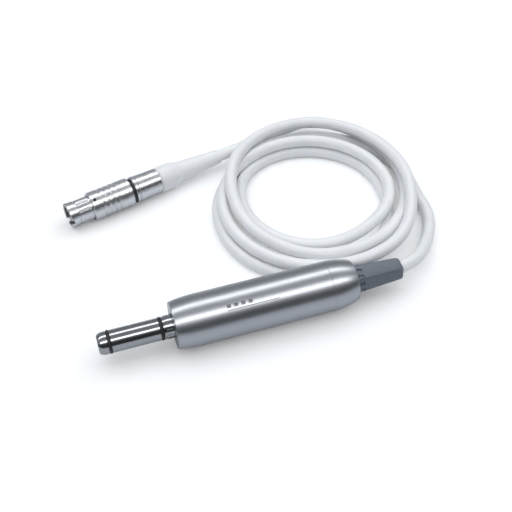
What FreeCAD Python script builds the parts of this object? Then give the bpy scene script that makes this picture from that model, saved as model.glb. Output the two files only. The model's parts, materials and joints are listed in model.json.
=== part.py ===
"""Electric dental micromotor with a spigot coupling, a silicone hose laid in a loose coil and a
push-pull plug.  Millimetres, +Z up.  The motor lies along X with its coupling nose towards -X,
and the origin is under the middle of the motor, on the surface it lies on."""
import FreeCAD, Part
import math
import os
from FreeCAD import Vector as V

os.makedirs("parts", exist_ok=True)

# ---------------------------------------------------------------- driving dimensions: motor
NOSE_LEN = 32.5          # coupling spigot, body face to tip
NOSE_R = 4.95            # spigot outside radius
NOSE_BORE_R = 3.2        # way through the spigot to the drive dog
NOSE_ROOT_R = NOSE_R - 0.65   # stepped end of the spigot held in the collar
NOSE_ROOT_LEN = 6.0      # how far the stepped end reaches behind the body face
TIP_ROUND = 2.6          # rounding of the spigot's tip
ORING_W = 1.5            # width of an O-ring on the spigot
ORING_PROUD = 0.02       # how far an O-ring stands out of the spigot when squeezed
GROOVE_DEPTH = 0.80      # depth of the O-ring grooves
ORING_FRONT_X = -28.4    # front edge of the front O-ring
ORING_REAR_X = -6.1      # front edge of the rear O-ring
COLLAR_R = NOSE_R + 0.15      # chrome collar at the root of the spigot
COLLAR_FLANGE_R = NOSE_R + 1.25
COLLAR_FLANGE_LEN = 1.6
COLLAR_SLOTS = 12
COLLAR_SLOT_W = 1.4
COLLAR_SLOT_DEPTH = 0.5

BODY_R = 11.4            # body sleeve outside radius
BODY_LEN = 70.4          # body sleeve, front face to the rear joint
BODY_WALL = 1.0
FACE_THICK = 2.6         # front wall of the body sleeve
FACE_GAP = 0.5           # ring gap between front wall and collar
FACE_TAPER_LEN = 12.0    # the sleeve narrows over this length towards its front face
FACE_DROP = 1.15         # by this much at the face
TAPER_DROP = 0.45        # and by this much where the gentle part of the taper ends
CAP_LEN = 12.6           # rear cap behind the joint
CAP_END_R = 8.7          # radius of the cap's rear edge
CAP_DROP = 2.0           # the cap narrows by this much towards its rear edge
CAP_SPIGOT_LEN = 4.0     # part of the cap that plugs into the body sleeve
CAP_SPIGOT_WALL = 0.9
CLAMP_R = 5.5            # bore of the cap round the hose clamp
CLAMP_START = 3.0        # clamp, behind the joint

RELIEF_LEN = 23.0        # strain relief behind the cap
RELIEF_ROOT_R = 6.9      # across corners, at the cap
RELIEF_END_R = 5.3       # across corners, at the hose
RELIEF_SEAT_LEN = 3.5    # part of the strain relief inside the cap
RELIEF_FLANGE_LEN = 1.2
RELIEF_SEAT_R = 7.6      # counterbore in the cap

# ---------------------------------------------------------------- driving dimensions: drive
SHAFT_R = 2.5            # at the bearings
SHAFT_NOSE_R = 2.0       # where the dog slides
SHAFT_ROTOR_R = 3.0      # under the magnet
BEARING_R = 6.5          # outside radius of both bearings
BEARING_W = 4.0
BALLS = 7
BALL_R = 0.9
RUN = 0.05               # radial running clearance
MAGNET_R = 5.6
BAND_WALL = 0.25
AIR_GAP = 0.45
WINDING_WALL = 1.3
ROTOR_X = 17.0           # front end of the magnet
ROTOR_LEN = BODY_LEN - 40.4
WINDING_OVERHANG = 1.5
FRONT_BEARING_X = 7.0
REAR_BEARING_X = ROTOR_X + ROTOR_LEN + 4.7
DOG_X = -25.0            # front of the drive dog
DOG_LEN = 12.0
DOG_R = 2.75
DOG_TRAVEL = 1.5
BOARD_X = REAR_BEARING_X + 11.3
BOARD_THICK = 1.0
BOARD_R = BODY_R - BODY_WALL - 1.0

# ---------------------------------------------------------------- driving dimensions: hose and plug
HOSE_R = 3.0
HOSE_BORE_R = 2.1
PLUG_AT = (-57.3, 87.7)  # axis of the plug above this point, at the front of its sleeve
PLUG_TURN = 13.7         # degrees between the plug's axis and X
SLEEVE_R = 7.3           # release sleeve
SLEEVE_LEN = 21.5
SLEEVE_BORE_R = 6.2
SLEEVE_TRAVEL = 1.5
SLEEVE_GROOVES = 4
SHELL_LEN = 11.9         # shell in front of the sleeve
SHELL_R = 6.2            # front collar of the shell
NECK_R = 6.0             # shell between front collar and sleeve
SHELL_INNER_R = 5.0
SHELL_TAIL_R = 5.4       # shell under the sleeve and in the nut
SHELL_TAIL_X = 30.0
STOP_R = 6.9             # ring between sleeve and nut
STOP_LEN = 1.9
NUT_LEN = 12.4
NUT_FRONT_R = 6.7
NUT_REAR_R = 6.4
NUT_X = SLEEVE_LEN + SLEEVE_TRAVEL + 0.3 + STOP_LEN
BOOT_LEN = 35.7
BOOT_TIP_R = HOSE_R + 0.7
PINS_ON_CIRCLE = 7

# ---------------------------------------------------------------- the hose's route
LEAD_ROUTE = [(69.25, 0.0, 11.4), (79.0, 3.0, 10.4), (88.6, 12.2, 6.6), (96.2, 22.2, 3.4),
              (101.2, 31.4, 3.0), (103.2, 39.6, 3.0), (103.2, 47.0, 3.0)]
TAIL_ROUTE = [(70.2, 119.6, 6.2), (61.0, 119.2, 5.4), (51.6, 117.4, 5.0), (42.0, 114.5, 5.2),
              (32.0, 110.7, 6.3), (22.6, 107.3, 7.2)]
# Loose turns: (turns from the start, radius of the turn, height of its middle line)
COIL_CENTRE = (51.9, 63.7)
COIL_START = -18.0       # direction of the first point, degrees
COIL_TURNS = [(0.00, 53.2, 3.0), (0.13, 50.6, 3.0), (0.25, 49.0, 3.0), (0.38, 45.8, 3.0),
              (0.44, 44.8, 3.0), (0.50, 47.6, 3.0), (0.56, 50.4, 3.0), (0.62, 53.0, 3.0),
              (0.68, 54.2, 3.0), (0.75, 52.0, 3.0), (0.88, 42.5, 3.0), (1.00, 36.9, 3.0),
              (1.13, 36.6, 3.0), (1.25, 36.7, 3.0), (1.38, 38.2, 3.2), (1.45, 38.0, 4.5),
              (1.51, 36.6, 5.6), (1.75, 36.0, 6.5), (1.88, 35.6, 8.6), (2.00, 38.2, 9.0),
              (2.13, 38.0, 8.9), (2.25, 38.2, 8.9), (2.38, 40.5, 8.6), (2.45, 42.8, 8.8),
              (2.51, 45.7, 8.6), (2.67, 50.7, 8.3), (2.75, 51.5, 8.8), (2.88, 53.0, 11.8),
              (2.97, 47.7, 14.7), (3.11, 46.3, 14.6), (3.25, 49.3, 12.6), (3.38, 45.0, 13.6),
              (3.45, 42.6, 14.7), (3.54, 41.3, 13.4), (3.75, 46.3, 10.8), (3.82, 45.1, 10.0),
              (4.00, 46.1, 8.9), (4.13, 49.8, 9.0), (4.19, 54.4, 7.8), (4.25, 58.3, 6.2)]

# ---------------------------------------------------------------- places worked out from them
CAP_END_X = BODY_LEN + CAP_LEN
FACE_X = NOSE_LEN - (NOSE_LEN + CAP_END_X + RELIEF_LEN) / 2.0
BODY_BORE_R = BODY_R - BODY_WALL
AXIS_Z = BODY_R
PLUG_Z = SLEEVE_R
STATOR_R = MAGNET_R + BAND_WALL + AIR_GAP + WINDING_WALL
FRONT_HOUSING_END = FRONT_BEARING_X + BEARING_W
REAR_WALL_X = REAR_BEARING_X + BEARING_W + 0.8
REAR_HOUSING_END = REAR_WALL_X + 2.5
CLAMP_X = BODY_LEN + CLAMP_START
CLAMP_LEN = CAP_LEN - RELIEF_SEAT_LEN - CLAMP_START
RELIEF_END_X = CAP_END_X + RELIEF_LEN
BOOT_X = NUT_X + NUT_LEN


def turned(points):
    """A solid of revolution about X from a closed outline of (x, r) points.  A point written as
    (x, r, "mid") is the middle of an arc between its two neighbours."""
    edges = []
    i = 0
    while i < len(points):
        start = V(points[i][0], points[i][1], 0)
        second = points[(i + 1) % len(points)]
        through = V(second[0], second[1], 0)
        if len(second) == 3:
            third = points[(i + 2) % len(points)]
            edges.append(Part.Arc(start, through, V(third[0], third[1], 0)).toShape())
            i += 2
        else:
            edges.append(Part.LineSegment(start, through).toShape())
            i += 1
    return Part.Face(Part.Wire(edges)).revolve(V(0, 0, 0), V(1, 0, 0), 360)


def eased(flat, edge, radius, drop):
    """Middle of the arc that leaves a cylinder smoothly at x = flat and is lower by drop at edge."""
    length = edge - flat
    arc_r = (length ** 2 + drop ** 2) / (2.0 * drop)
    return (flat + length / 2.0, radius - arc_r + math.sqrt(arc_r ** 2 - length ** 2 / 4.0), "mid")


def ring(x, length, inner, outer):
    """A plain ring about X."""
    return turned([(x, inner), (x + length, inner), (x + length, outer), (x, outer)])


def rod(x, length, radius):
    return Part.makeCylinder(radius, length, V(x, 0, 0), V(1, 0, 0))


def around(shape, count, first=0.0):
    """Copies of a shape, evenly spaced about X."""
    copies = []
    for k in range(count):
        copy = shape.copy()
        copy.rotate(V(0, 0, 0), V(1, 0, 0), first + 360.0 * k / count)
        copies.append(copy)
    return copies


def block(x, length, radius, depth, width):
    """A box that straddles the top of a cylinder about X: it reaches from radius - depth up."""
    return Part.makeBox(length, width, depth + 2.0, V(x, -width / 2.0, radius - depth))


def tube_along(route, radius):
    """A round bar along straight runs joined by tangent arcs.  Returns the solid, the length of
    its middle line and the radii of its arcs."""
    points = [V(*p) for p in route]
    edges = []
    radii = []
    here = points[0]
    for before, at, after in zip(points, points[1:], points[2:]):
        to_at = at.sub(before)
        from_at = after.sub(at)
        turn = to_at.getAngle(from_at)
        cut = 0.45 * min(to_at.Length, from_at.Length)
        u_in = V(to_at).normalize()
        u_out = V(from_at).normalize()
        start = at.sub(V(u_in).multiply(cut))
        end = at.add(V(u_out).multiply(cut))
        arc_r = cut / math.tan(turn / 2.0)
        inward = V(u_out).sub(u_in).normalize()
        sag = arc_r / math.cos(turn / 2.0) - arc_r
        middle = at.add(inward.multiply(sag))
        edges.append(Part.LineSegment(here, start).toShape())
        edges.append(Part.Arc(start, middle, end).toShape())
        here = end
        radii.append(arc_r)
    edges.append(Part.LineSegment(here, points[-1]).toShape())
    path = Part.Wire(edges)
    section = Part.Wire([Part.makeCircle(radius, points[0], points[1].sub(points[0]))])
    return path.makePipeShell([section], True, False), path.Length, radii


def hose_along(route):
    """A stretch of hose, with its arcs and its volume printed for checking."""
    solid, length, radii = tube_along(route, HOSE_R)
    expected = math.pi * HOSE_R ** 2 * length
    print("hose: length %.1f, smallest arc %.1f (%.1f diameters), volume / expected %.4f"
          % (length, min(radii), min(radii) / (2 * HOSE_R), solid.Volume / expected))
    print("      arcs", ["%.0f" % r for r in radii])
    return solid


def on_motor(shape):
    shape = shape.copy()
    shape.translate(V(FACE_X, 0, AXIS_Z))
    return shape


def on_plug(shape):
    """From the plug's own axis, x = 0 at the front of its sleeve, to where it lies."""
    shape = shape.copy()
    shape.rotate(V(0, 0, 0), V(0, 0, 1), PLUG_TURN)
    shape.translate(V(PLUG_AT[0], PLUG_AT[1], PLUG_Z))
    return shape


NODES = {}


def keep(name, shapes, place):
    solids = shapes if isinstance(shapes, list) else [shapes]
    placed = [place(s) for s in solids]
    NODES[name] = placed[0] if len(placed) == 1 else Part.makeCompound(placed)


# ---------------------------------------------------------------- coupling nose
def nose_tube():
    tip = -NOSE_LEN
    groove_r = NOSE_R - GROOVE_DEPTH
    step = ORING_REAR_X + ORING_W
    outline = [(tip, NOSE_BORE_R + 0.3), (tip, NOSE_R - 1.0),
               eased(tip + TIP_ROUND, tip, NOSE_R, 1.0), (tip + TIP_ROUND, NOSE_R),
               (ORING_FRONT_X, NOSE_R), (ORING_FRONT_X, groove_r),
               (ORING_FRONT_X + ORING_W, groove_r), (ORING_FRONT_X + ORING_W, NOSE_R),
               (ORING_REAR_X, NOSE_R), (ORING_REAR_X, groove_r), (step, groove_r),
               (step, NOSE_ROOT_R), (NOSE_ROOT_LEN, NOSE_ROOT_R), (NOSE_ROOT_LEN, NOSE_BORE_R),
               (tip + 0.3, NOSE_BORE_R)]
    return turned(outline)


def nose_oring(x):
    inner = NOSE_R - GROOVE_DEPTH
    outer = NOSE_R + ORING_PROUD
    edge = NOSE_R - 0.06
    return turned([(x, inner), (x + ORING_W, inner), (x + ORING_W, edge),
                   (x + ORING_W / 2.0, outer, "mid"), (x, edge)])


def nose_collar():
    front = ORING_REAR_X + ORING_W
    body = turned([(front, NOSE_ROOT_R), (front, COLLAR_R - 0.15), (front + 0.15, COLLAR_R),
                   (front + 0.45, COLLAR_R), (front + 0.55, COLLAR_R - 0.25),
                   (front + 0.85, COLLAR_R - 0.25), (front + 0.95, COLLAR_R),
                   (FACE_THICK, COLLAR_R), (FACE_THICK, COLLAR_FLANGE_R),
                   (FACE_THICK + COLLAR_FLANGE_LEN, COLLAR_FLANGE_R),
                   (FACE_THICK + COLLAR_FLANGE_LEN, NOSE_ROOT_R)])
    slot = block(front + 1.3, 3.0, COLLAR_R, COLLAR_SLOT_DEPTH, COLLAR_SLOT_W)
    return body.cut(around(slot, COLLAR_SLOTS, 15.0))


# ---------------------------------------------------------------- body shells
def body_sleeve():
    shoulder = COLLAR_R + FACE_GAP
    taper_end = FACE_TAPER_LEN * 0.3
    return turned([(0, shoulder), (0, BODY_R - FACE_DROP), (0.3, BODY_R - FACE_DROP + 0.15),
                   (taper_end * 0.45, BODY_R - TAPER_DROP * 1.6, "mid"), (taper_end, BODY_R - TAPER_DROP),
                   eased(FACE_TAPER_LEN, taper_end, BODY_R, TAPER_DROP), (FACE_TAPER_LEN, BODY_R),
                   (BODY_LEN, BODY_R), (BODY_LEN, BODY_BORE_R), (FACE_THICK, BODY_BORE_R),
                   (FACE_THICK, shoulder)])


def front_housing():
    flange_end = FACE_THICK + COLLAR_FLANGE_LEN
    return turned([(FACE_THICK, COLLAR_FLANGE_R), (FACE_THICK, BODY_BORE_R),
                   (FRONT_HOUSING_END + 3.0, BODY_BORE_R), (FRONT_HOUSING_END + 3.0, STATOR_R),
                   (FRONT_HOUSING_END, STATOR_R), (FRONT_HOUSING_END, BEARING_R),
                   (FRONT_BEARING_X, BEARING_R), (FRONT_BEARING_X, BEARING_R - 1.4),
                   (NOSE_ROOT_LEN, BEARING_R - 1.4), (NOSE_ROOT_LEN, NOSE_ROOT_R),
                   (flange_end, NOSE_ROOT_R), (flange_end, COLLAR_FLANGE_R)])


def rear_housing():
    wall_r = SHAFT_R + 1.1
    return turned([(REAR_BEARING_X, BEARING_R), (REAR_BEARING_X, BODY_BORE_R),
                   (REAR_HOUSING_END, BODY_BORE_R), (REAR_HOUSING_END, wall_r),
                   (REAR_WALL_X, wall_r), (REAR_WALL_X, BEARING_R)])


def rear_cap():
    spigot_r = BODY_BORE_R - CAP_SPIGOT_WALL
    seat_x = CAP_END_X - RELIEF_SEAT_LEN
    flat_x = BODY_LEN + 1.0
    edge_x = CAP_END_X - 0.4
    edge_r = BODY_R - CAP_DROP
    return turned([(BODY_LEN - CAP_SPIGOT_LEN, spigot_r), (BODY_LEN - CAP_SPIGOT_LEN, BODY_BORE_R),
                   (BODY_LEN, BODY_BORE_R), (BODY_LEN, BODY_R - 0.15), (BODY_LEN + 0.15, BODY_R),
                   (flat_x, BODY_R), eased(flat_x, edge_x, BODY_R, CAP_DROP), (edge_x, edge_r),
                   (CAP_END_X - 0.14, (edge_r + CAP_END_R) / 2.0 + 0.1, "mid"), (CAP_END_X, CAP_END_R),
                   (CAP_END_X, RELIEF_SEAT_R), (seat_x, RELIEF_SEAT_R), (seat_x, CLAMP_R),
                   (CLAMP_X, CLAMP_R), (CLAMP_X, spigot_r)])


def rear_seal():
    inner = RELIEF_ROOT_R - 0.5
    start = CAP_END_X - RELIEF_SEAT_LEN + RELIEF_FLANGE_LEN
    return turned([(start, inner), (start, RELIEF_SEAT_R), (start + 1.3, RELIEF_SEAT_R),
                   (start + 1.6, (inner + RELIEF_SEAT_R) / 2.0, "mid"), (start + 1.3, inner)])


def six_sided(x, radius):
    corners = []
    for k in range(7):
        a = math.radians(60.0 * k)
        corners.append(V(x, -radius * math.sin(a), radius * math.cos(a)))
    return Part.makePolygon(corners)


def strain_relief():
    """A six-sided rubber boot with rounded corners, short flex slots at its root and a seat
    held in the cap."""
    seat_x = CAP_END_X - RELIEF_SEAT_LEN
    stem_r = RELIEF_ROOT_R - 0.5
    seat = turned([(seat_x, HOSE_R), (seat_x, RELIEF_SEAT_R), (seat_x + RELIEF_FLANGE_LEN, RELIEF_SEAT_R),
                   (seat_x + RELIEF_FLANGE_LEN, stem_r), (CAP_END_X, stem_r), (CAP_END_X, HOSE_R)])
    limit = turned([(CAP_END_X, HOSE_R), (CAP_END_X, RELIEF_ROOT_R - 0.2),
                    (RELIEF_END_X - 1.6, RELIEF_END_R - 0.1),
                    (RELIEF_END_X - 0.45, RELIEF_END_R - 0.55, "mid"), (RELIEF_END_X, RELIEF_END_R - 1.5),
                    (RELIEF_END_X, HOSE_R)])
    sides = Part.makeLoft([six_sided(CAP_END_X, RELIEF_ROOT_R + 0.25),
                           six_sided(RELIEF_END_X, RELIEF_END_R + 0.25)], True, True)
    sides.rotate(V(0, 0, 0), V(1, 0, 0), 40.0)
    slot = block(CAP_END_X + 0.5, 2.9, RELIEF_ROOT_R - 0.3, 0.75, 1.5)
    shaped = limit.common(sides).cut(around(slot, 12, 10.0))
    return seat.fuse(shaped).removeSplitter()


def cable_clamp():
    slots = around(block(CLAMP_X - 1.0, CLAMP_LEN * 0.7 + 1.0, CLAMP_R, 1.6, 0.8), 4, 45.0)
    return ring(CLAMP_X, CLAMP_LEN, HOSE_R, CLAMP_R).cut(slots)


# ---------------------------------------------------------------- drive
def drive_shaft():
    rotor_end = ROTOR_X + ROTOR_LEN
    shaft = turned([(DOG_X + 0.8, 0), (DOG_X + 0.8, SHAFT_NOSE_R), (-6.0, SHAFT_NOSE_R), (-6.0, DOG_R),
                    (-4.8, DOG_R), (-4.8, SHAFT_NOSE_R), (FRONT_BEARING_X - 0.2, SHAFT_NOSE_R),
                    (FRONT_BEARING_X - 0.2, SHAFT_R), (FRONT_HOUSING_END + 0.3, SHAFT_R),
                    (FRONT_HOUSING_END + 0.3, SHAFT_ROTOR_R), (rotor_end + 2.5, SHAFT_ROTOR_R),
                    (rotor_end + 2.5, SHAFT_R), (REAR_WALL_X, SHAFT_R), (REAR_WALL_X, SHAFT_NOSE_R),
                    (REAR_HOUSING_END + 2.4, SHAFT_NOSE_R), (REAR_HOUSING_END + 2.4, 0)])
    return shaft.cut(drive_pin())


def drive_pin():
    return Part.makeCylinder(0.4, 2 * DOG_R - 0.1, V(DOG_X + 10.0, 0, 0.05 - DOG_R), V(0, 0, 1))


def drive_dog():
    """A sleeve with two prongs.  Its slots let it slide back over the cross pin."""
    body = turned([(DOG_X, SHAFT_NOSE_R + RUN), (DOG_X, DOG_R - 0.25), (DOG_X + 0.25, DOG_R),
                   (DOG_X + DOG_LEN, DOG_R), (DOG_X + DOG_LEN, SHAFT_NOSE_R + RUN)])
    gap = Part.makeBox(3.0, 2 * DOG_R + 1.0, 2.6, V(DOG_X - 0.1, -DOG_R - 0.5, -1.3))
    slot = Part.makeBox(DOG_TRAVEL + 1.0, 0.9, 2 * DOG_R + 1.0,
                        V(DOG_X + 9.5 - DOG_TRAVEL, -0.45, -DOG_R - 0.5))
    return body.cut([gap, slot])


def coil_spring(x, length, radius, wire, turns):
    """A round-wire spring about X, its turns made of short tangent arcs."""
    per_turn = 10
    points = []
    for k in range(turns * per_turn + 1):
        a = 2 * math.pi * k / per_turn
        points.append((x + length * k / (turns * per_turn), radius * math.sin(a), radius * math.cos(a)))
    return tube_along(points, wire)[0]


def bearing(name, x):
    middle = (SHAFT_R + 1.0 + BEARING_R - 1.1) / 2.0
    centre = V(x + BEARING_W / 2.0, 0, middle)
    balls = around(Part.makeSphere(BALL_R, centre), BALLS)
    pockets = around(Part.makeSphere(BALL_R + RUN, centre), BALLS)
    cage = ring(x + 0.4, 1.2, middle - 0.4, middle + 0.4).cut(pockets)
    keep(name + "_outer_race", ring(x, BEARING_W, BEARING_R - 1.1, BEARING_R), on_motor)
    keep(name + "_inner_race", ring(x, BEARING_W, SHAFT_R, SHAFT_R + 1.0), on_motor)
    keep(name + "_balls", balls, on_motor)
    keep(name + "_cage", cage, on_motor)


def wire_run(points, radius):
    """A round wire through a few points."""
    pieces = []
    for a, b in zip(points, points[1:]):
        run = b.sub(a)
        pieces.append(Part.makeCylinder(radius, run.Length, a, run))
    for joint in points[1:-1]:
        pieces.append(Part.makeSphere(radius, joint))
    whole = pieces[0]
    return whole.fuse(pieces[1:]) if len(pieces) > 1 else whole


# ---------------------------------------------------------------- motor assembly
WINDING_R = MAGNET_R + BAND_WALL + AIR_GAP
WIRE_CIRCLE_R = 1.35
WIRE_R = 0.45
WIRES = 6
POST_CIRCLE_R = BODY_BORE_R - 2.2

keep("nose_tube", nose_tube(), on_motor)
keep("nose_oring_front", nose_oring(ORING_FRONT_X), on_motor)
keep("nose_oring_rear", nose_oring(ORING_REAR_X), on_motor)
keep("nose_collar", nose_collar(), on_motor)
keep("body_sleeve", body_sleeve(), on_motor)
keep("front_housing", front_housing(), on_motor)
keep("rear_cap", rear_cap(), on_motor)
keep("rear_seal", rear_seal(), on_motor)
keep("strain_relief", strain_relief(), on_motor)
keep("cable_clamp", cable_clamp(), on_motor)

phase_holes = around(rod(REAR_BEARING_X - 1, 12, 0.7).translated(V(0, 0, POST_CIRCLE_R)), 3)
keep("rear_housing", rear_housing().cut(phase_holes), on_motor)
keep("stator_core", ring(ROTOR_X, ROTOR_LEN, STATOR_R, BODY_BORE_R), on_motor)
keep("stator_winding", ring(ROTOR_X - WINDING_OVERHANG, ROTOR_LEN + 2 * WINDING_OVERHANG,
                            WINDING_R, STATOR_R), on_motor)
phase = rod(ROTOR_X + ROTOR_LEN + 0.2, BOARD_X - ROTOR_X - ROTOR_LEN - 0.2, 0.5)
keep("phase_wires", around(phase.translated(V(0, 0, POST_CIRCLE_R)), 3), on_motor)

keep("drive_shaft", drive_shaft(), on_motor)
keep("rotor_magnet", ring(ROTOR_X, ROTOR_LEN, SHAFT_ROTOR_R, MAGNET_R), on_motor)
keep("magnet_band", ring(ROTOR_X, ROTOR_LEN, MAGNET_R, MAGNET_R + BAND_WALL), on_motor)
keep("sensor_magnet", ring(REAR_HOUSING_END + 0.4, 2.0, SHAFT_NOSE_R, 4.0), on_motor)
keep("drive_pin", drive_pin(), on_motor)
keep("drive_dog", drive_dog(), on_motor)
keep("dog_spring", coil_spring(DOG_X + DOG_LEN + 0.35, -6.0 - DOG_X - DOG_LEN - 0.7, 2.4, 0.22, 6),
     on_motor)
bearing("front_bearing", FRONT_BEARING_X)
bearing("rear_bearing", REAR_BEARING_X)
keep("preload_washer", ring(REAR_BEARING_X + BEARING_W, 0.8, BEARING_R - 1.0, BEARING_R), on_motor)

post = rod(REAR_HOUSING_END, BOARD_X - REAR_HOUSING_END, 1.1).translated(V(0, 0, POST_CIRCLE_R))
screw = rod(BOARD_X - 2.5, BOARD_THICK + 2.5, 0.6).fuse(rod(BOARD_X + BOARD_THICK, 0.9, 1.1))
screw = screw.removeSplitter().translated(V(0, 0, POST_CIRCLE_R))
screws = around(screw, 3, 60.0)
keep("board_posts", [p.cut(s) for p, s in zip(around(post, 3, 60.0), screws)], on_motor)
keep("board_screws", screws, on_motor)
terminal = rod(BOARD_X, BOARD_THICK + 2.0, WIRE_R).translated(V(0, 0, WIRE_CIRCLE_R))
terminals = around(terminal, WIRES)
board = rod(BOARD_X, BOARD_THICK, BOARD_R).cut(screws + terminals)
keep("sensor_board", board, on_motor)
chip = Part.makeBox(1.1, 1.6, 1.6, V(BOARD_X - 1.1, -0.8, 2.3))
keep("hall_sensors", around(chip, 3, 30.0), on_motor)
keep("board_terminals", terminals, on_motor)
wire_x = BOARD_X + BOARD_THICK + 2.0
motor_wire = rod(wire_x, RELIEF_END_X - wire_x - 4.0, WIRE_R).translated(V(0, 0, WIRE_CIRCLE_R))
keep("motor_wires", around(motor_wire, WIRES), on_motor)
hose_start = CLAMP_X - 1.5
keep("hose_motor_end", ring(hose_start, RELIEF_END_X - hose_start, HOSE_BORE_R, HOSE_R), on_motor)


# ---------------------------------------------------------------- plug
KEY_TURN = 26.0          # the key slot and the dot, from straight up towards -Y
GROOVE_PITCH = 2.8
GROOVE_W = 1.3
SPRING_STOP_X = SLEEVE_LEN - 2.5
INSULATOR_X = -6.5
INSULATOR_LEN = 10.5


def plug_shell():
    front = -SHELL_LEN
    neck_x = front + 3.9
    bore_r = SHELL_INNER_R
    inner_r = SHELL_TAIL_R - 0.8
    seat_x = INSULATOR_X + INSULATOR_LEN
    body = turned([(front, bore_r + 0.25), (front, SHELL_R - 0.3), (front + 0.3, SHELL_R),
                   (neck_x, SHELL_R), (neck_x + 0.1, NECK_R - 0.25), (neck_x + 0.7, NECK_R - 0.25),
                   (neck_x + 0.8, NECK_R), (0.6, NECK_R), (0.6, SHELL_TAIL_R),
                   (SPRING_STOP_X, SHELL_TAIL_R), (SPRING_STOP_X, SLEEVE_BORE_R - RUN),
                   (SLEEVE_LEN - 0.1, SLEEVE_BORE_R - RUN), (SLEEVE_LEN - 0.1, SHELL_TAIL_R),
                   (SHELL_TAIL_X, SHELL_TAIL_R), (SHELL_TAIL_X, inner_r), (seat_x, inner_r),
                   (seat_x, bore_r), (front + 0.25, bore_r)])
    rib = Part.makeBox(6.4, 1.7, 1.2, V(neck_x + 0.8, -0.85, NECK_R - 0.9))
    ribs = [r for r in around(rib, 1, KEY_TURN - 22.0) + around(rib, 1, KEY_TURN + 22.0)]
    notch = block(front - 0.5, 1.8, bore_r + 0.5, 1.0, 2.2)
    slot = block(neck_x + 0.8, 6.0, NECK_R, 0.7, 1.5)
    slot.rotate(V(0, 0, 0), V(1, 0, 0), KEY_TURN)
    return body.fuse(ribs).removeSplitter().cut(around(notch, 3, KEY_TURN + 60.0) + [slot])


def release_sleeve():
    outline = [(0, SLEEVE_BORE_R), (0, SLEEVE_R - 0.3), (0.3, SLEEVE_R)]
    for k in range(SLEEVE_GROOVES):
        x = 5.0 + GROOVE_PITCH * k
        outline += [(x, SLEEVE_R), (x + GROOVE_W / 2.0, SLEEVE_R - 0.38, "mid"), (x + GROOVE_W, SLEEVE_R)]
    outline += [(SLEEVE_LEN - 0.3, SLEEVE_R), (SLEEVE_LEN, SLEEVE_R - 0.3), (SLEEVE_LEN, SLEEVE_BORE_R)]
    return turned(outline)


def alignment_dot():
    dot = Part.makeCylinder(0.85, 0.45, V(2.0, 0, SLEEVE_R - 0.42), V(0, 0, 1))
    dot.rotate(V(0, 0, 0), V(1, 0, 0), KEY_TURN)
    return dot


def plug_boot():
    tip = BOOT_X + BOOT_LEN
    return turned([(BOOT_X - 1.2, HOSE_R), (BOOT_X - 1.2, SHELL_TAIL_R), (BOOT_X, SHELL_TAIL_R),
                   (BOOT_X, NUT_REAR_R + 0.1), (BOOT_X + 3.9, NUT_REAR_R + 0.4, "mid"),
                   (BOOT_X + 7.8, NUT_REAR_R), (BOOT_X + 10.2, NUT_REAR_R - 0.5, "mid"),
                   (BOOT_X + 12.0, NUT_REAR_R - 1.1), (tip - 0.7, BOOT_TIP_R),
                   (tip - 0.2, BOOT_TIP_R - 0.12, "mid"), (tip, BOOT_TIP_R - 0.5), (tip, HOSE_R)])


seal_x = SLEEVE_LEN - 0.1
stop_x = NUT_X - STOP_LEN
collet_x = SHELL_TAIL_X + 0.4
boot_tip_x = BOOT_X + BOOT_LEN
dot = alignment_dot()
keep("plug_shell", plug_shell(), on_plug)
keep("plug_release_sleeve", release_sleeve().cut(dot), on_plug)
keep("plug_alignment_dot", dot, on_plug)
keep("plug_latch_ring", ring(2.0, 4.0, SHELL_TAIL_R + RUN, SLEEVE_BORE_R), on_plug)
keep("plug_release_spring", coil_spring(6.3, SPRING_STOP_X - 6.6, 5.8, 0.26, 6), on_plug)
keep("plug_seal", ring(seal_x, stop_x - seal_x, SHELL_TAIL_R, SLEEVE_BORE_R - 0.1), on_plug)
keep("plug_stop_ring", turned([(stop_x, SHELL_TAIL_R), (stop_x, STOP_R - 0.25), (stop_x + 0.25, STOP_R),
                               (NUT_X - 0.35, STOP_R), (NUT_X - 0.35, STOP_R - 0.6),
                               (NUT_X, STOP_R - 0.6), (NUT_X, SHELL_TAIL_R)]), on_plug)
keep("plug_back_nut", turned([(NUT_X, SHELL_TAIL_R), (NUT_X, NUT_FRONT_R - 0.25),
                              (NUT_X + 0.25, NUT_FRONT_R), (BOOT_X - 0.3, NUT_REAR_R),
                              (BOOT_X, NUT_REAR_R - 0.3), (BOOT_X, SHELL_TAIL_R)]), on_plug)
pin = rod(-10.0, 17.0, WIRE_R)
pins = [pin] + around(pin.translated(V(0, 0, 3.1)), PINS_ON_CIRCLE)
keep("plug_insulator", rod(INSULATOR_X, INSULATOR_LEN, SHELL_INNER_R).cut(pins), on_plug)
keep("plug_pins", pins, on_plug)
collet_slots = around(block(collet_x + 1.8, 6.0, SHELL_TAIL_R, 1.5, 0.8), 4, 45.0)
collet_len = BOOT_X - 1.2 - collet_x
keep("plug_cable_clamp", ring(collet_x, collet_len, HOSE_R, SHELL_TAIL_R).cut(collet_slots), on_plug)
keep("plug_boot", plug_boot(), on_plug)
keep("hose_plug_end", ring(collet_x, boot_tip_x - collet_x, HOSE_BORE_R, HOSE_R), on_plug)
plug_wire = wire_run([V(7.0, 0, 3.1), V(SHELL_TAIL_X - 4.0, 0, WIRE_CIRCLE_R),
                      V(boot_tip_x - 8.0, 0, WIRE_CIRCLE_R)], WIRE_R)
keep("plug_wires", around(plug_wire, WIRES), on_plug)


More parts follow.
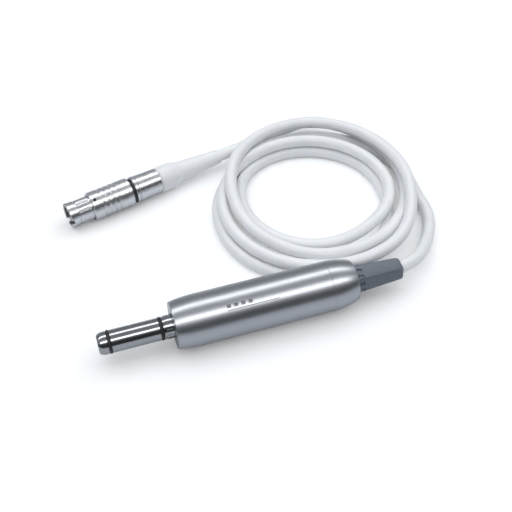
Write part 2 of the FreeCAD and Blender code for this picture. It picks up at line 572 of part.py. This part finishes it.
# ---------------------------------------------------------------- hose
def at_turn(turn, column):
    """The coil's radius or height after so many turns, eased between the rows of COIL_TURNS."""
    rows = COIL_TURNS
    i = 0
    while i < len(rows) - 2 and rows[i + 1][0] < turn:
        i += 1

    def slope(k):
        a = rows[max(k - 1, 0)]
        b = rows[min(k + 1, len(rows) - 1)]
        return (b[column] - a[column]) / (b[0] - a[0])

    span = rows[i + 1][0] - rows[i][0]
    u = min(max((turn - rows[i][0]) / span, 0.0), 1.0)
    return ((2 * u ** 3 - 3 * u ** 2 + 1) * rows[i][column] + (u ** 3 - 2 * u ** 2 + u) * span * slope(i)
            + (3 * u ** 2 - 2 * u ** 3) * rows[i + 1][column] + (u ** 3 - u ** 2) * span * slope(i + 1))


def coil_outline(pick, allowance):
    """A closed curve round the turns: pick is max for the outside and min for the inside."""
    last = COIL_TURNS[-1][0]
    steps = 24
    points = []
    for k in range(steps):
        passes = [at_turn(k / steps + n, 1) for n in range(5) if k / steps + n <= last]
        radius = pick(passes) + allowance
        a = math.radians(COIL_START + 360.0 * k / steps)
        points.append(V(COIL_CENTRE[0] + radius * math.cos(a), COIL_CENTRE[1] + radius * math.sin(a), 0))
    curve = Part.BSplineCurve()
    curve.interpolate(points, True)
    return Part.Wire([curve.toShape()])


def hose_coil():
    margin = HOSE_R + 0.2
    height = max(row[2] for row in COIL_TURNS) + HOSE_R
    outside = Part.Face(coil_outline(max, margin)).extrude(V(0, 0, height))
    inside = Part.Face(coil_outline(min, -margin)).extrude(V(0, 0, height))
    motor = Part.makeCylinder(BODY_R + 0.3, 300.0, V(-150.0, 0, AXIS_Z), V(1, 0, 0))
    return outside.cut([inside, motor])


def as_is(shape):
    return shape


boot_tip = on_plug(Part.Vertex(boot_tip_x, 0, 0)).Point
keep("hose_lead", hose_along(LEAD_ROUTE), as_is)
keep("hose_coil", hose_coil(), as_is)
keep("hose_tail", hose_along(TAIL_ROUTE + [tuple(boot_tip)]), as_is)

for name, shape in NODES.items():
    solids = shape.Solids
    if not shape.isValid() or not solids or min(s.Volume for s in solids) <= 0:
        print("BAD", name, shape.isValid(), [round(s.Volume, 3) for s in solids])
    shape.exportStep("parts/%s.step" % name)
print(len(NODES), "nodes")
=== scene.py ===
"""Looks of a dental electric micromotor: blasted body, polished coupling nose, white silicone hose in
a loose coil, and a nickel push-pull plug.  Metres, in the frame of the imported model."""
import json
import math

import bmesh
import bpy
from mathutils import Matrix, Vector


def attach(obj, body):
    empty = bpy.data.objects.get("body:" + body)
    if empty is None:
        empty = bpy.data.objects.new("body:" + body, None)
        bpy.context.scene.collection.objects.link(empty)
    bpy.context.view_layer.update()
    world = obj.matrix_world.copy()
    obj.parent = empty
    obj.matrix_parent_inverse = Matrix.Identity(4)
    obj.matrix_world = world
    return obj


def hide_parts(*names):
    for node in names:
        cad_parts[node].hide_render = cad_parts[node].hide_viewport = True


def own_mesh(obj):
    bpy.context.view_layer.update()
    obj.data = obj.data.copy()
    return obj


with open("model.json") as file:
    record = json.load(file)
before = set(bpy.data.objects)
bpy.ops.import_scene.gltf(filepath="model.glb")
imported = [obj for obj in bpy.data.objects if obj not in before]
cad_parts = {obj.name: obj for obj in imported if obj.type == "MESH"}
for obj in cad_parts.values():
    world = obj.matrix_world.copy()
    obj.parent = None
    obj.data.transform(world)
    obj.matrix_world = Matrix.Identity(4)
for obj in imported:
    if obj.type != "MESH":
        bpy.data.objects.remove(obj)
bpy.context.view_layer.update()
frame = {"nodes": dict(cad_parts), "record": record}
MM = 0.001

# Millimetres: both axes lie this high over the floor, and the plug points away from X by its turn.
MOTOR_AXIS_Z = 11.4
PLUG_FRONT = (-57.3, 87.7)
PLUG_AXIS_Z = 7.3
PLUG_TURN = math.radians(13.7)


# ---------------------------------------------------------------- shader arithmetic
class Signal:
    """One output socket of a shader node, which arithmetic in Python can use."""

    def __init__(self, finish, socket):
        self.finish = finish
        self.socket = socket

    def join(self, operation, first, second):
        return self.finish.node("ShaderNodeMath", {"operation": operation}, {0: first, 1: second})

    def __add__(self, other):
        return self.join("ADD", self, other)

    def __sub__(self, other):
        return self.join("SUBTRACT", self, other)

    def __mul__(self, other):
        return self.join("MULTIPLY", self, other)

    def __gt__(self, other):
        return self.join("GREATER_THAN", self, other)

    __radd__ = __add__
    __rmul__ = __mul__


class Finish:
    """A material.  Constants sit on the shader's own sockets, and signals are linked to them."""

    def __init__(self, name, **constants):
        self.material = bpy.data.materials.new(name)
        self.material.use_nodes = True
        self.tree = self.material.node_tree
        self.shader = self.tree.nodes["Principled BSDF"]
        for socket, value in constants.items():
            self.set(socket.replace("_", " "), value)

    def set(self, socket, value):
        self.plug(self.shader.inputs[socket], value)

    def plug(self, socket, value):
        if isinstance(value, Signal):
            self.tree.links.new(value.socket, socket)
        elif hasattr(value, "__len__") and len(value) == 3 and socket.type == "RGBA":
            socket.default_value = (*value, 1.0)
        else:
            socket.default_value = value

    def node(self, kind, settings=None, inputs=None, output=0):
        """A node of any kind: its settings first, then what its sockets hold or are linked to."""
        made = self.tree.nodes.new(kind)
        for name, value in (settings or {}).items():
            if name == "stops":
                ramp = made.color_ramp.elements
                while len(ramp) < len(value):
                    ramp.new(1.0)
                for element, (place, colour) in zip(ramp, value):
                    element.position = place
                    element.color = (*colour, 1.0)
            else:
                setattr(made, name, value)
        for name, value in (inputs or {}).items():
            self.plug(made.inputs[name], value)
        return Signal(self, made.outputs[output])

    def place(self, stretch=(1, 1, 1)):
        """Object coordinates in millimetres, stretched along the axes."""
        at = self.node("ShaderNodeTexCoord", output="Object")
        scale = [s / MM for s in stretch]
        return self.node("ShaderNodeMapping", {}, {"Vector": at, "Scale": scale})

    def noise(self, size, detail=2.0, stretch=(1, 1, 1)):
        """Noise from 0 to 1 whose grains are about so many millimetres across."""
        return self.node("ShaderNodeTexNoise", {}, {"Vector": self.place(stretch), "Scale": 1.0 / size,
                                                     "Detail": detail})

    def blend(self, amount, first, second):
        """From the first colour to the second."""
        return self.node("ShaderNodeMix", {"data_type": "RGBA"}, {0: amount, 6: first, 7: second}, 2)

    def bump(self, height, depth, strength=1.0):
        """Relief of the surface; depth in millimetres where the height is 1."""
        normal = self.node("ShaderNodeBump", {}, {"Height": height, "Distance": depth * MM,
                                                  "Strength": strength})
        self.set("Normal", normal)


def shade(colour, factor):
    return tuple(min(1.0, c * factor) for c in colour)


def metal(name, colour, roughness, grain=0.15, depth=0.004, spread=0.06, smudge=9.0, turned=0.0):
    """Bare metal with fine grain, faint smudges and, where it was turned, rings about X."""
    f = Finish(name, Metallic=1.0)
    soft = f.noise(smudge, 3.0)
    fine = f.noise(grain, 2.0)
    f.set("Base Color", f.blend(soft, shade(colour, 0.93), shade(colour, 1.05)))
    f.set("Roughness", soft * spread + fine * (spread * 0.5) + (roughness - spread * 0.75))
    height = fine
    if turned:
        height = fine * 0.4 + f.noise(turned, 1.0, (1, 0.02, 0.02))
    f.bump(height, depth)
    return f.material


def moulded(name, colour, roughness, grain=0.3, depth=0.006, spread=0.08, **more):
    """Rubber or plastic out of a mould: soft mottling, matte patches and a fine surface."""
    f = Finish(name, **more)
    soft = f.noise(7.0, 3.0)
    fine = f.noise(grain, 2.0)
    f.set("Base Color", f.blend(soft, shade(colour, 0.95), shade(colour, 1.03)))
    f.set("Roughness", soft * spread + (roughness - spread * 0.5))
    f.bump(fine, depth)
    return f.material


def between(signal, low, high):
    return (signal > low) * ((signal * -1.0) > -high)


MARK_START, MARK_END = -14.0, 9.0        # along the body
MARK_BAR = (53.5, 54.8)                  # degrees up from the front
MARK_SQUARES = (59.0, 67.0)
SQUARE_PITCH, SQUARE_SIDE, SQUARES = 3.2, 1.8, 4


def blasted(name, marked=False):
    """Bead-blasted metal: an even fine grain with faintly smoother and duller areas.  A marked one
    carries a plain engraved bar with squares over it along its upper front."""
    f = Finish(name, Metallic=1.0)
    soft = f.noise(14.0, 3.0)
    grain = f.noise(0.12, 3.0)
    speck = f.noise(0.35, 1.0)
    colour = f.blend(soft * 0.6 + speck * 0.4, (0.39, 0.405, 0.43), (0.45, 0.465, 0.49))
    height = grain * 0.7 + speck * 0.3
    rough = soft * 0.06 + grain * 0.05 + 0.265
    if marked:
        at = f.place()
        along, across, up = (f.node("ShaderNodeSeparateXYZ", {}, {0: at}, k) for k in range(3))
        angle = f.node("ShaderNodeMath", {"operation": "ARCTAN2"}, {0: up - MOTOR_AXIS_Z, 1: across * -1.0})
        degrees = angle * (180.0 / math.pi)
        cut = between(along, MARK_START, MARK_END) * between(degrees, *MARK_BAR)
        for k in range(SQUARES):
            left = MARK_START + SQUARE_PITCH * k
            cut = cut + between(along, left, left + SQUARE_SIDE) * between(degrees, *MARK_SQUARES)
        colour = f.blend(cut * 0.8, colour, (0.10, 0.10, 0.11))
        height = height - cut * 3.0
        rough = rough + cut * 0.15
    f.set("Base Color", colour)
    f.set("Roughness", rough)
    f.bump(height, 0.006)
    return f.material


def laminated(name):
    """Thin steel sheets stacked along X."""
    f = Finish(name, Metallic=0.9)
    sheet = f.node("ShaderNodeTexWave", {"bands_direction": "X"}, {"Vector": f.place(), "Scale": 0.9})
    f.set("Base Color", f.blend(sheet, (0.10, 0.10, 0.11), (0.34, 0.34, 0.36)))
    f.set("Roughness", sheet * 0.1 + 0.35)
    f.bump(sheet, 0.03)
    return f.material


def wound(name):
    """Enamelled copper wire laid along X."""
    f = Finish(name, Metallic=1.0, Coat_Roughness=0.2)
    strand = f.node("ShaderNodeTexWave", {"bands_direction": "Z"}, {"Vector": f.place(), "Scale": 1.4,
                                                                     "Distortion": 1.2})
    f.set("Base Color", f.blend(strand, (0.32, 0.12, 0.04), (0.78, 0.36, 0.17)))
    f.set("Roughness", strand * 0.1 + 0.25)
    f.bump(strand, 0.06)
    return f.material


def circuit(name):
    """Green solder mask over copper tracks."""
    f = Finish(name, Coat_Weight=0.5, Coat_Roughness=0.15)
    tracks = f.node("ShaderNodeTexVoronoi", {"feature": "DISTANCE_TO_EDGE"},
                    {"Vector": f.place(), "Scale": 0.6})
    on_track = tracks > 0.12
    f.set("Base Color", f.blend(on_track, (0.02, 0.20, 0.08), (0.01, 0.11, 0.05)))
    f.set("Roughness", on_track * 0.1 + 0.3)
    f.bump(on_track, 0.02)
    return f.material


FINISHES = {
    "blasted_metal": blasted("blasted_body_metal"),
    "polished_steel": metal("polished_steel", (0.36, 0.37, 0.385), 0.14, 0.4, 0.0015, 0.04, 6.0, 0.25),
    "steel": metal("ground_steel", (0.52, 0.52, 0.54), 0.28, 0.2, 0.004, 0.08, 6.0, 0.2),
    "satin_nickel": metal("plug_nickel", (0.68, 0.685, 0.70), 0.27, 0.3, 0.003, 0.08, 5.0, 0.2),
    "black_rubber": moulded("black_seal_rubber", (0.012, 0.012, 0.013), 0.45, 0.2),
    "grey_rubber": moulded("grey_strain_rubber", (0.125, 0.147, 0.178), 0.36, 0.25, 0.01),
    "white_silicone": moulded("white_hose_silicone", (0.86, 0.865, 0.875), 0.40, 0.5, 0.01,
                              Subsurface_Weight=0.12, Subsurface_Scale=0.001),
    "core_steel": laminated("core_sheets"),
    "copper": wound("copper_winding"),
    "magnet": metal("magnet_plating", (0.45, 0.45, 0.47), 0.22),
    "band": metal("magnet_band_steel", (0.50, 0.50, 0.52), 0.25, turned=0.15),
    "board_green": circuit("board_mask"),
    "chip_black": moulded("chip_epoxy", (0.02, 0.02, 0.022), 0.5, 0.1),
    "gold": metal("gold_contact", (0.85, 0.60, 0.24), 0.16, 0.2, 0.002),
    "wire_grey": moulded("wire_jacket", (0.40, 0.42, 0.48), 0.4, 0.3),
    "insulator": moulded("black_insulator", (0.025, 0.025, 0.027), 0.45, 0.3),
    "cage_plastic": moulded("cage_resin", (0.32, 0.19, 0.09), 0.45, 0.2),
    "enamel": moulded("black_enamel", (0.01, 0.01, 0.01), 0.2, 0.3, 0.002, Coat_Weight=0.6),
}

for part in frame["record"]["subparts"]:
    node = frame["nodes"][part["node"]]
    node.data.materials.clear()
    node.data.materials.append(FINISHES[part["material_slot"]])
frame["nodes"]["body_sleeve"].data.materials[0] = blasted("blasted_and_marked", marked=True)


# ---------------------------------------------------------------- camera
VIEW_AZIMUTH = math.radians(-18.09)
VIEW_ELEVATION = math.radians(47.56)
VIEW_DISTANCE = 0.3848
LOOK_AT = Vector((0.01273, 0.03722, 0.0))

eye = bpy.data.objects.new("camera", bpy.data.cameras.new("camera"))
bpy.context.scene.collection.objects.link(eye)
back = Vector((math.sin(VIEW_AZIMUTH) * math.cos(VIEW_ELEVATION),
               -math.cos(VIEW_AZIMUTH) * math.cos(VIEW_ELEVATION), math.sin(VIEW_ELEVATION)))
eye.data.sensor_width = 36.0
eye.data.lens = 56.25
eye.location = LOOK_AT + back * VIEW_DISTANCE
eye.rotation_euler = (-back).to_track_quat("-Z", "Y").to_euler()
eye.data.clip_start = 0.01
bpy.context.scene.camera = eye


# ---------------------------------------------------------------- hose
HOSE_R = 3.0 * MM
LEAD_ROUTE = [(69.25, 0.0, 11.4), (79.0, 3.0, 10.4), (88.6, 12.2, 6.6), (96.2, 22.2, 3.4),
              (101.2, 31.4, 3.0), (103.2, 39.6, 3.0)]
TAIL_ROUTE = [(61.0, 119.2, 5.4), (51.6, 117.4, 5.0), (42.0, 114.5, 5.2), (32.0, 110.7, 6.3),
              (22.6, 107.3, 7.2), (13.92, 105.06, 7.3)]
# Loose turns: (turns from the start, radius of the turn, height of its middle line)
COIL_CENTRE = (51.9, 63.7)
COIL_START = -18.0
COIL_TURNS = [(0.00, 53.2, 3.0), (0.13, 50.6, 3.0), (0.25, 49.0, 3.0), (0.38, 45.8, 3.0),
              (0.44, 44.8, 3.0), (0.50, 47.6, 3.0), (0.56, 50.4, 3.0), (0.62, 53.0, 3.0),
              (0.68, 54.2, 3.0), (0.75, 52.0, 3.0), (0.88, 42.5, 3.0), (1.00, 36.9, 3.0),
              (1.13, 36.6, 3.0), (1.25, 36.7, 3.0), (1.38, 38.2, 3.2), (1.45, 38.0, 4.5),
              (1.51, 36.6, 5.6), (1.75, 36.0, 6.5), (1.88, 35.6, 8.6), (2.00, 38.2, 9.0),
              (2.13, 38.0, 8.9), (2.25, 38.2, 8.9), (2.38, 40.5, 8.6), (2.45, 42.8, 8.8),
              (2.51, 45.7, 8.6), (2.67, 50.7, 8.3), (2.75, 51.5, 8.8), (2.88, 53.0, 11.8),
              (2.97, 47.7, 14.7), (3.11, 46.3, 14.6), (3.25, 49.3, 12.6), (3.38, 45.0, 13.6),
              (3.45, 42.6, 14.7), (3.54, 41.3, 13.4), (3.75, 46.3, 10.8), (3.82, 45.1, 10.0),
              (4.00, 46.1, 8.9), (4.13, 49.8, 9.0), (4.19, 54.4, 7.8), (4.25, 58.3, 6.2)]
POINTS_PER_TURN = 24


def at_turn(turn, column):
    """The coil's radius or height after so many turns, eased between the rows of COIL_TURNS."""
    rows = COIL_TURNS
    i = 0
    while i < len(rows) - 2 and rows[i + 1][0] < turn:
        i += 1

    def slope(k):
        a = rows[max(k - 1, 0)]
        b = rows[min(k + 1, len(rows) - 1)]
        return (b[column] - a[column]) / (b[0] - a[0])

    span = rows[i + 1][0] - rows[i][0]
    u = min(max((turn - rows[i][0]) / span, 0.0), 1.0)
    return ((2 * u ** 3 - 3 * u ** 2 + 1) * rows[i][column] + (u ** 3 - 2 * u ** 2 + u) * span * slope(i)
            + (3 * u ** 2 - 2 * u ** 3) * rows[i + 1][column] + (u ** 3 - u ** 2) * span * slope(i + 1))


def coil_points():
    """Control points of the loose turns, a little outside the line so that the curve lies on it."""
    outside = 1.0 / math.cos(math.pi / POINTS_PER_TURN)
    points = []
    for k in range(int(COIL_TURNS[-1][0] * POINTS_PER_TURN) + 1):
        turn = k / POINTS_PER_TURN
        radius = at_turn(turn, 1) * outside
        a = math.radians(COIL_START) + 2 * math.pi * turn
        points.append((COIL_CENTRE[0] + radius * math.cos(a), COIL_CENTRE[1] + radius * math.sin(a),
                       at_turn(turn, 2)))
    return points


def make_hose(boot):
    route = LEAD_ROUTE + coil_points() + TAIL_ROUTE
    curve = bpy.data.curves.new("hose", "CURVE")
    curve.dimensions = "3D"
    curve.bevel_depth = HOSE_R
    curve.bevel_resolution = 8
    curve.resolution_u = 8
    curve.use_fill_caps = True
    line = curve.splines.new("NURBS")
    line.points.add(len(route) - 1)
    for point, (x, y, z) in zip(line.points, route):
        point.co = (x * MM, y * MM, z * MM, 1.0)
    line.order_u = 3
    line.use_endpoint_u = True
    hose = bpy.data.objects.new("hose", curve)
    bpy.context.scene.collection.objects.link(hose)
    curve.materials.append(FINISHES["white_silicone"])
    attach(hose, "motor")
    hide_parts("hose_lead", "hose_coil", "hose_tail")


# ---------------------------------------------------------------- soft pieces and seals
def skin(name, rows, place, slot, body, instead_of):
    """A closed ring-shaped piece from rows of points round an axis: the first row joins the last."""
    mesh = bmesh.new()
    loops = [[mesh.verts.new(place(*point)) for point in row] for row in rows]
    for row, following in zip(loops, loops[1:] + loops[:1]):
        for k in range(len(row)):
            n = (k + 1) % len(row)
            mesh.faces.new((row[k], following[k], following[n], row[n]))
    bmesh.ops.recalc_face_normals(mesh, faces=mesh.faces)
    data = bpy.data.meshes.new(name)
    mesh.to_mesh(data)
    mesh.free()
    for face in data.polygons:
        face.use_smooth = True
    data.set_sharp_from_angle(angle=math.radians(42))
    data.materials.append(FINISHES[slot])
    piece = bpy.data.objects.new(name, data)
    bpy.context.scene.collection.objects.link(piece)
    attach(piece, body)
    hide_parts(instead_of)
    return piece


def on_motor(x, radius, angle):
    """Millimetres along the motor's axis from its middle, out from it, and degrees up from the front."""
    a = math.radians(angle)
    return (x * MM, -radius * math.cos(a) * MM, (MOTOR_AXIS_Z + radius * math.sin(a)) * MM)


def on_plug(x, radius, angle):
    """The same round the plug's axis, from the front of its sleeve."""
    a = math.radians(angle)
    side = -radius * math.cos(a)
    return ((PLUG_FRONT[0] + x * math.cos(PLUG_TURN) - side * math.sin(PLUG_TURN)) * MM,
            (PLUG_FRONT[1] + x * math.sin(PLUG_TURN) + side * math.cos(PLUG_TURN)) * MM,
            (PLUG_AXIS_Z + radius * math.sin(a)) * MM)


def around(x, radius, count=96):
    """A row of points; the radius may depend on the angle."""
    step = 360.0 / count
    return [(x, radius(k * step) if callable(radius) else radius, k * step) for k in range(count)]


HOSE_WAY = 3.02          # the hose's way through the rubber that holds it
SEAL_MIDDLE_R = 4.45     # to the middle of an O-ring's own thickness
SEAL_HALF = 0.75
SEAL_STEPS = 20


def make_seal(name, x):
    """A round O-ring, standing out of the spigot as it does with nothing on it."""
    turns = [2 * math.pi * k / SEAL_STEPS for k in range(SEAL_STEPS)]
    rows = [around(x + SEAL_HALF * math.sin(a), SEAL_MIDDLE_R + SEAL_HALF * math.cos(a)) for a in turns]
    skin(name + "_round", rows, on_motor, "black_rubber", "motor", name)


RELIEF_SEAT_X = 42.75    # front of the flange held in the cap
RELIEF_FLANGE_LEN = 1.2
RELIEF_FLANGE_R = 7.6
RELIEF_STEM_R = 6.4
RELIEF_ROOT_X = 46.25    # where the cap ends
RELIEF_LEN = 23.0
RELIEF_ROOT_WIDTH = 7.05
RELIEF_NARROWING = 1.65
RELIEF_TURN = 20.0       # degrees from the front up to the middle of a side
FLAT_SHARE = 0.905       # how far a side's middle lies in, against the corner
SHARPNESS = 14           # higher gives tighter corners
RELIEF_COUNT = 144       # points in a row
NOTCH_FROM, NOTCH_TO = 0.45, 3.4
NOTCH_DEPTH = 0.65
NOTCH_PITCH, NOTCH_WIDTH, NOTCH_TURN = 30.0, 11.0, 10.0    # degrees
END_ROUND = 2.0          # length over which the end rounds off
END_DROP = 1.25


def six_sided(across, angle):
    """Rounded hexagon: distance from the axis in one direction."""
    sides = [math.cos(math.radians(angle - RELIEF_TURN - 60.0 * k)) for k in range(3)]
    return across * FLAT_SHARE / sum(abs(side) ** SHARPNESS for side in sides) ** (1.0 / SHARPNESS)


def make_relief():
    """Six-sided rubber sleeve with short notches at its root; its last part rounds over to the hose."""
    flange_end = RELIEF_SEAT_X + RELIEF_FLANGE_LEN
    seat = [(RELIEF_SEAT_X, HOSE_WAY), (RELIEF_SEAT_X, RELIEF_FLANGE_R), (flange_end, RELIEF_FLANGE_R),
            (flange_end, RELIEF_STEM_R), (RELIEF_ROOT_X, RELIEF_STEM_R)]
    rows = [around(x, r, RELIEF_COUNT) for x, r in seat]
    steps = [0.0, 0.3, 0.5, 0.9, 1.5, 2.2, 2.9, 3.3, 3.6, 5.0, 8.0, 11.0, 14.0, 17.0, 19.5, 21.0, 21.8,
             22.3, 22.6, 22.85, 23.0]
    for s in steps:
        width = RELIEF_ROOT_WIDTH - RELIEF_NARROWING * (s / RELIEF_LEN) ** 0.9
        if s < 0.5:
            width -= 0.45 * (0.5 - s)
        into_round = (s - (RELIEF_LEN - END_ROUND)) / END_ROUND
        if into_round > 0:
            width -= END_DROP * (1.0 - math.sqrt(max(0.0, 1.0 - into_round ** 2)))

        def shape(angle, width=width, s=s):
            cut = NOTCH_FROM < s < NOTCH_TO and (angle + NOTCH_TURN) % NOTCH_PITCH < NOTCH_WIDTH
            return six_sided(width, angle) - (NOTCH_DEPTH if cut else 0.0)

        rows.append(around(RELIEF_ROOT_X + s, shape, RELIEF_COUNT))
    rows.append(around(RELIEF_ROOT_X + RELIEF_LEN, HOSE_WAY, RELIEF_COUNT))
    skin("strain_relief_six_sided", rows, on_motor, "grey_rubber", "motor", "strain_relief")


BOOT_SEAT_X = 36.4       # the part of the boot inside the nut starts here
BOOT_X = 37.6            # and the part outside it here
BOOT_SEAT_R = 5.4
BOOT_END_X = 73.3


def make_boot():
    """Hose end moulded over the plug: a soft bulge, a crease, then a long taper."""
    rows = [around(BOOT_SEAT_X, HOSE_WAY), around(BOOT_SEAT_X, BOOT_SEAT_R), around(BOOT_X, BOOT_SEAT_R)]
    outline = [(BOOT_X, 5.9), (37.75, 6.2), (38.3, 6.5), (39.6, 6.66), (41.5, 6.75), (43.5, 6.72),
               (45.2, 6.6),
               (46.6, 6.35), (47.8, 6.0), (48.8, 5.55), (49.4, 5.25), (49.7, 5.1), (50.1, 5.12), (51.0, 5.18),
               (53.0, 5.12), (56.0, 4.98), (60.0, 4.66), (65.0, 4.24), (70.0, 3.9), (72.6, 3.74), (73.1, 3.6),
               (BOOT_END_X, 3.35)]
    rows += [around(x, r) for x, r in outline]
    rows.append(around(BOOT_END_X, HOSE_WAY))
    return skin("plug_boot_soft", rows, on_plug, "white_silicone", "motor", "plug_boot")


FRONT_SEAL_X = -64.4
REAR_SEAL_X = -42.1
make_seal("nose_oring_front", FRONT_SEAL_X)
make_seal("nose_oring_rear", REAR_SEAL_X)
make_relief()
make_hose(make_boot())


def squeeze(name, axis):
    """Gives the spring a mesh of its own; it is not shortened."""
    spring = frame["nodes"][name]
    axis = Vector(axis).normalized()
    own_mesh(spring)


squeeze("dog_spring", (1, 0, 0))
squeeze("plug_release_spring", (math.cos(PLUG_TURN), math.sin(PLUG_TURN), 0))


# ---------------------------------------------------------------- studio
def area_light(name, round_x, distance, width, length, power, colour=(1, 1, 1), shiny=True, shift=0.0):
    """A long panel parallel to X, round_x degrees up from the horizon in front, facing the object."""
    panel = bpy.data.lights.new(name, "AREA")
    panel.shape = "RECTANGLE"
    panel.size = length
    panel.size_y = width
    panel.energy = power
    panel.color = colour
    light = bpy.data.objects.new(name, panel)
    bpy.context.scene.collection.objects.link(light)
    a = math.radians(round_x)
    away = Vector((0, -math.cos(a), math.sin(a)))
    light.location = LOOK_AT + away * distance + Vector((shift, 0, 0))
    along = Vector((1, 0, 0))
    light.rotation_euler = Matrix((along, away.cross(along), away)).transposed().to_euler()
    light.visible_camera = False
    light.visible_glossy = shiny
    light.visible_diffuse = not shiny
    return light


def make_world():
    """A dim room: darkest low in front, a little lighter behind."""
    world = bpy.data.worlds.new("room")
    bpy.context.scene.world = world
    world.use_nodes = True
    tree = world.node_tree
    shade_of = tree.nodes["Background"]
    at = tree.nodes.new("ShaderNodeTexCoord")
    parts = tree.nodes.new("ShaderNodeSeparateXYZ")
    tree.links.new(at.outputs["Generated"], parts.inputs[0])
    flip = tree.nodes.new("ShaderNodeMath")
    flip.operation = "MULTIPLY"
    flip.inputs[1].default_value = -1.0
    tree.links.new(parts.outputs["Y"], flip.inputs[0])
    angle = tree.nodes.new("ShaderNodeMath")
    angle.operation = "ARCTAN2"
    tree.links.new(parts.outputs["Z"], angle.inputs[0])
    tree.links.new(flip.outputs[0], angle.inputs[1])
    turn = tree.nodes.new("ShaderNodeMath")
    turn.operation = "DIVIDE"
    turn.inputs[1].default_value = math.pi
    tree.links.new(angle.outputs[0], turn.inputs[0])
    ramp = tree.nodes.new("ShaderNodeValToRGB")
    levels = [(0.0, 0.20), (0.05, 0.05), (0.2, 0.06), (0.28, 0.35), (0.45, 0.45), (0.53, 0.30), (0.60, 0.60),
              (0.72, 0.60), (0.80, 0.38), (1.0, 0.30)]
    while len(ramp.color_ramp.elements) < len(levels):
        ramp.color_ramp.elements.new(1.0)
    for element, (place, level) in zip(ramp.color_ramp.elements, levels):
        element.position = place
        element.color = (level * 0.96, level, level * 1.06, 1.0)
    tree.links.new(turn.outputs[0], ramp.inputs[0])
    seen = tree.nodes.new("ShaderNodeLightPath")
    mix = tree.nodes.new("ShaderNodeMix")
    mix.data_type = "RGBA"
    mix.inputs[7].default_value = (0.96, 0.97, 0.98, 1.0)
    tree.links.new(seen.outputs["Is Camera Ray"], mix.inputs[0])
    tree.links.new(ramp.outputs[0], mix.inputs[6])
    tree.links.new(mix.outputs[2], shade_of.inputs["Color"])


def make_floor():
    """A pale sheet that looks brighter to the camera than in reflections."""
    mesh = bmesh.new()
    bmesh.ops.create_circle(mesh, cap_ends=True, segments=96, radius=4.0)
    data = bpy.data.meshes.new("floor")
    mesh.to_mesh(data)
    mesh.free()
    floor = bpy.data.objects.new("floor", data)
    floor.location = (0, 0, -0.0001)
    bpy.context.scene.collection.objects.link(floor)
    f = Finish("pale_floor", Roughness=0.8, Specular_IOR_Level=0.1)
    mirrored = f.node("ShaderNodeLightPath", output=3)
    f.set("Base Color", f.blend(mirrored, (0.93, 0.94, 0.955), (0.80, 0.82, 0.85)))
    seen = f.node("ShaderNodeLightPath", output=0)
    f.set("Emission Color", f.blend(seen, (0.0, 0.0, 0.0), (0.165, 0.16, 0.15)))
    f.set("Emission Strength", 1.0)
    data.materials.append(f.material)


make_world()
make_floor()
area_light("front_strip", 61, 1.2, 0.30, 2.4, 10)
area_light("back_strip", 119, 1.2, 0.30, 2.4, 7.6)
area_light("overhead", 90, 1.0, 1.6, 2.4, 13, (0.97, 0.985, 1.0), shiny=False)
bpy.context.scene.view_settings.view_transform = "Standard"
